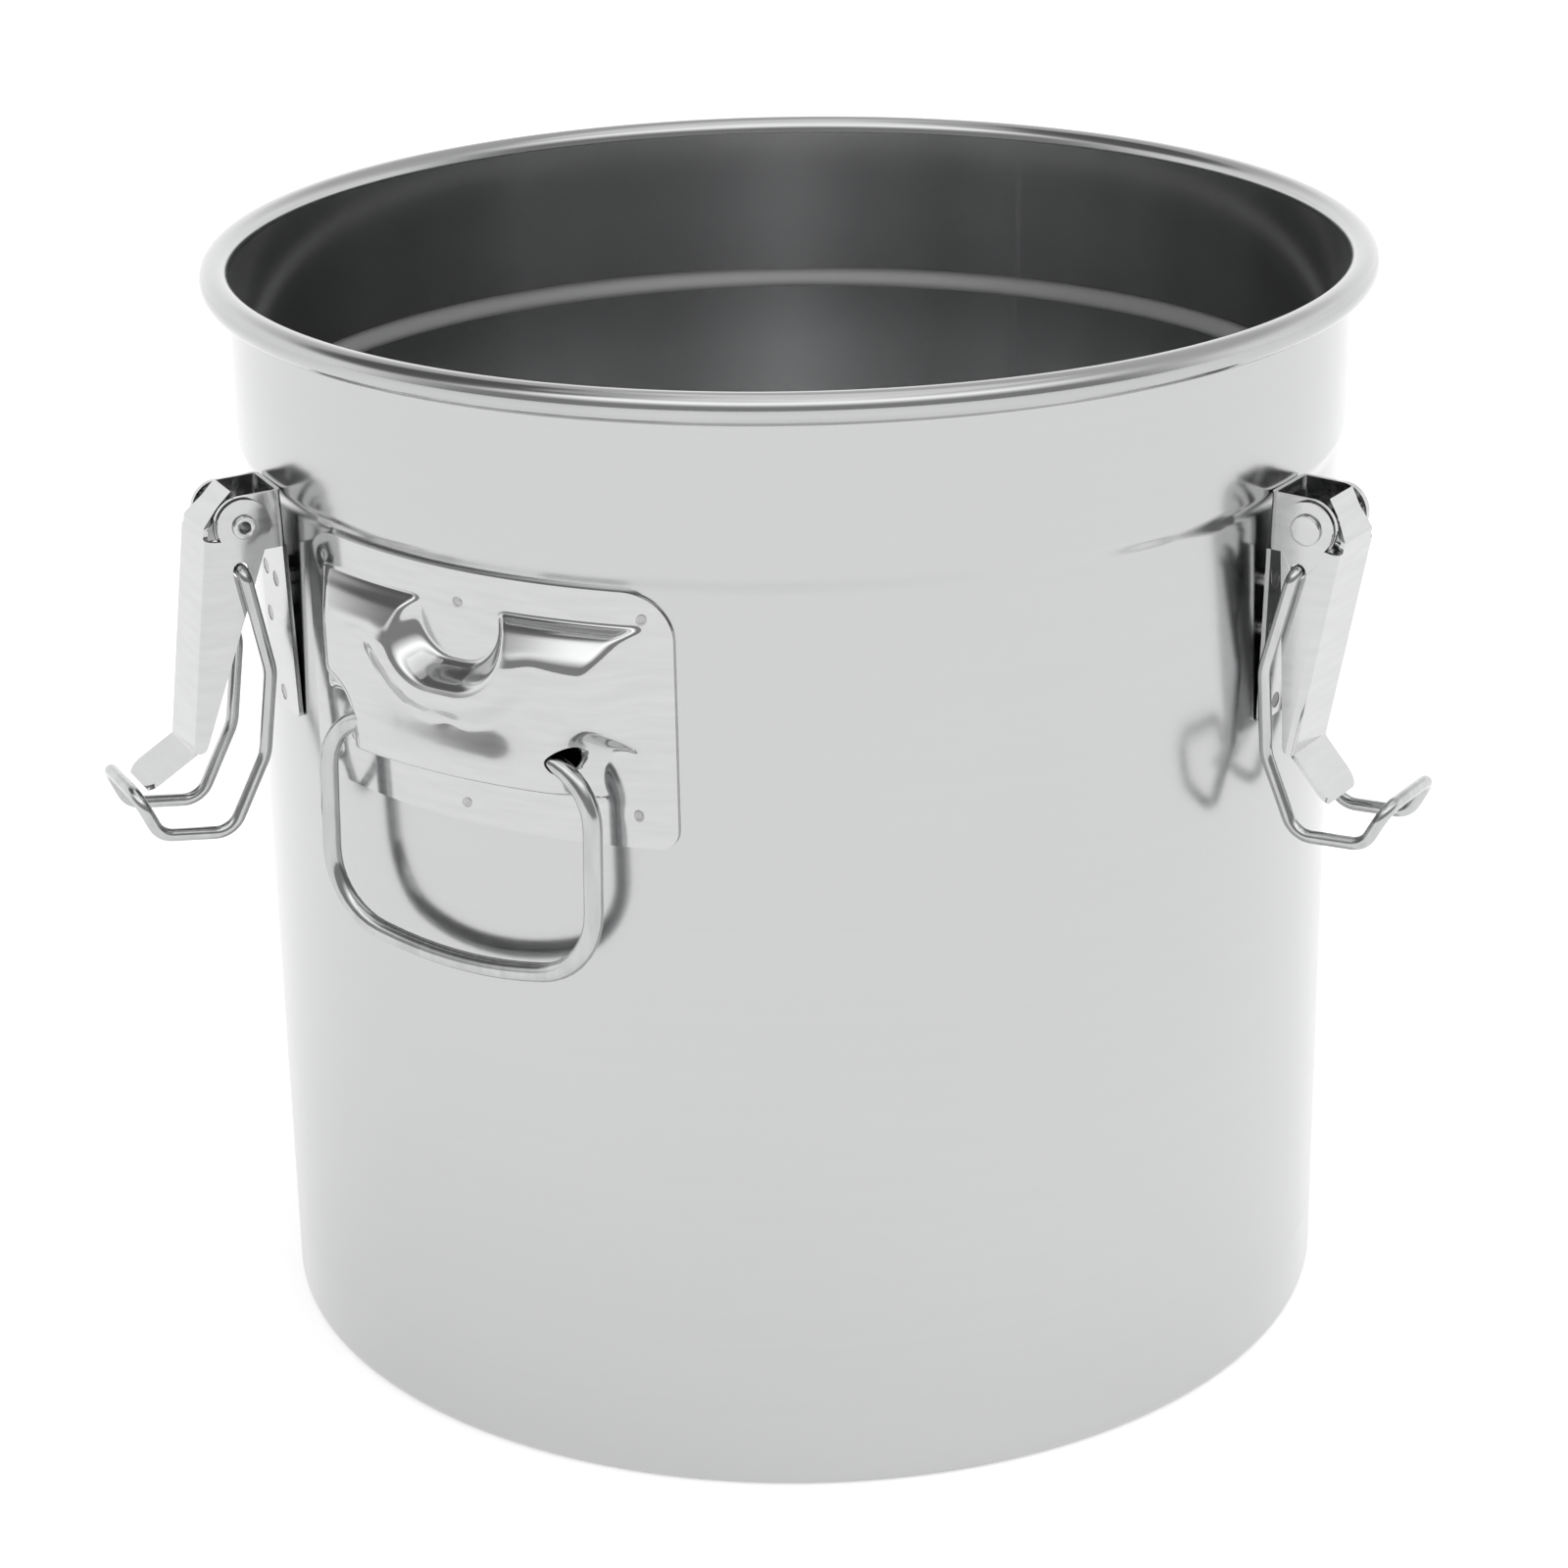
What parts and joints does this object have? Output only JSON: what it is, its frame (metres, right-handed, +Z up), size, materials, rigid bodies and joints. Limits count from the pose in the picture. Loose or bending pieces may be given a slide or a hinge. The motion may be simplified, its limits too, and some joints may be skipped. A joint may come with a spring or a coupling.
{
  "type": "milk can",
  "caption": "Open stainless-steel milk can with a rolled rim, three hanging wire-bail draw latches and two drop-ring side handles.",
  "frame": {"origin": "centre of the can's base", "axes": "+Z up along the can's axis, -X towards the first handle, -Y towards the first latch"},
  "size_m": [0.3501, 0.3511, 0.3013],
  "materials": {
    "can_steel": "mirror polish with fine circular brushing",
    "pressed_steel": "bright pressed sheet",
    "wire_steel": "bright drawn wire and rod",
    "weld_steel": "spot-weld marks"
  },
  "bodies": {
    "can": {"can_barrel": "can_steel", "can_rim": "can_steel", "can_bottom": "can_steel", "latch_bracket_1": "pressed_steel", "latch_bracket_welds_1": "weld_steel", "latch_rivet_1": "pressed_steel", "latch_bracket_2": "pressed_steel", "latch_bracket_welds_2": "weld_steel", "latch_rivet_2": "pressed_steel", "latch_bracket_3": "pressed_steel", "latch_bracket_welds_3": "weld_steel", "latch_rivet_3": "pressed_steel", "handle_plate_1": "pressed_steel", "handle_plate_welds_1": "weld_steel", "handle_plate_2": "pressed_steel", "handle_plate_welds_2": "weld_steel"},
    "lever_1": {"latch_lever_1": "pressed_steel"},
    "bail_1": {"latch_bail_1": "wire_steel"},
    "lever_2": {"latch_lever_2": "pressed_steel"},
    "bail_2": {"latch_bail_2": "wire_steel"},
    "lever_3": {"latch_lever_3": "pressed_steel"},
    "bail_3": {"latch_bail_3": "wire_steel"},
    "ring_1": {"handle_ring_1": "wire_steel"},
    "ring_2": {"handle_ring_2": "wire_steel"}
  },
  "joints": [
    {"name": "latch_lever_hinge_1", "type": "hinge", "parent": "can", "child": "lever_1", "pos_m": [0, -0.1633, 0.2471], "axis": [-1, 0, 0], "range_deg": [-1, 85]},
    {"name": "latch_bail_hinge_1", "type": "hinge", "parent": "lever_1", "child": "bail_1", "pos_m": [0, -0.16132, 0.23562], "axis": [-1, 0, 0], "range_deg": [-1, 85]},
    {"name": "latch_lever_hinge_2", "type": "hinge", "parent": "can", "child": "lever_2", "pos_m": [-0.14142, 0.08165, 0.2471], "axis": [0.5, 0.866, 0], "range_deg": [-9, 67]},
    {"name": "latch_bail_hinge_2", "type": "hinge", "parent": "lever_2", "child": "bail_2", "pos_m": [-0.14287, 0.08248, 0.23557], "axis": [0.5, 0.866, 0], "range_deg": [0, 98]},
    {"name": "latch_lever_hinge_3", "type": "hinge", "parent": "can", "child": "lever_3", "pos_m": [0.14142, 0.08165, 0.2471], "axis": [0.5, -0.866, 0], "range_deg": [-1, 85]},
    {"name": "latch_bail_hinge_3", "type": "hinge", "parent": "lever_3", "child": "bail_3", "pos_m": [0.13971, 0.08066, 0.23562], "axis": [0.5, -0.866, 0], "range_deg": [-1, 85]},
    {"name": "handle_ring_hinge_1", "type": "hinge", "parent": "can", "child": "ring_1", "pos_m": [-0.154, 0, 0.2054], "axis": [0, 1, 0], "range_deg": [-3, 125]},
    {"name": "handle_ring_hinge_2", "type": "hinge", "parent": "can", "child": "ring_2", "pos_m": [0.154, 0, 0.2054], "axis": [0, -1, 0], "range_deg": [-3, 125]}
  ]
}
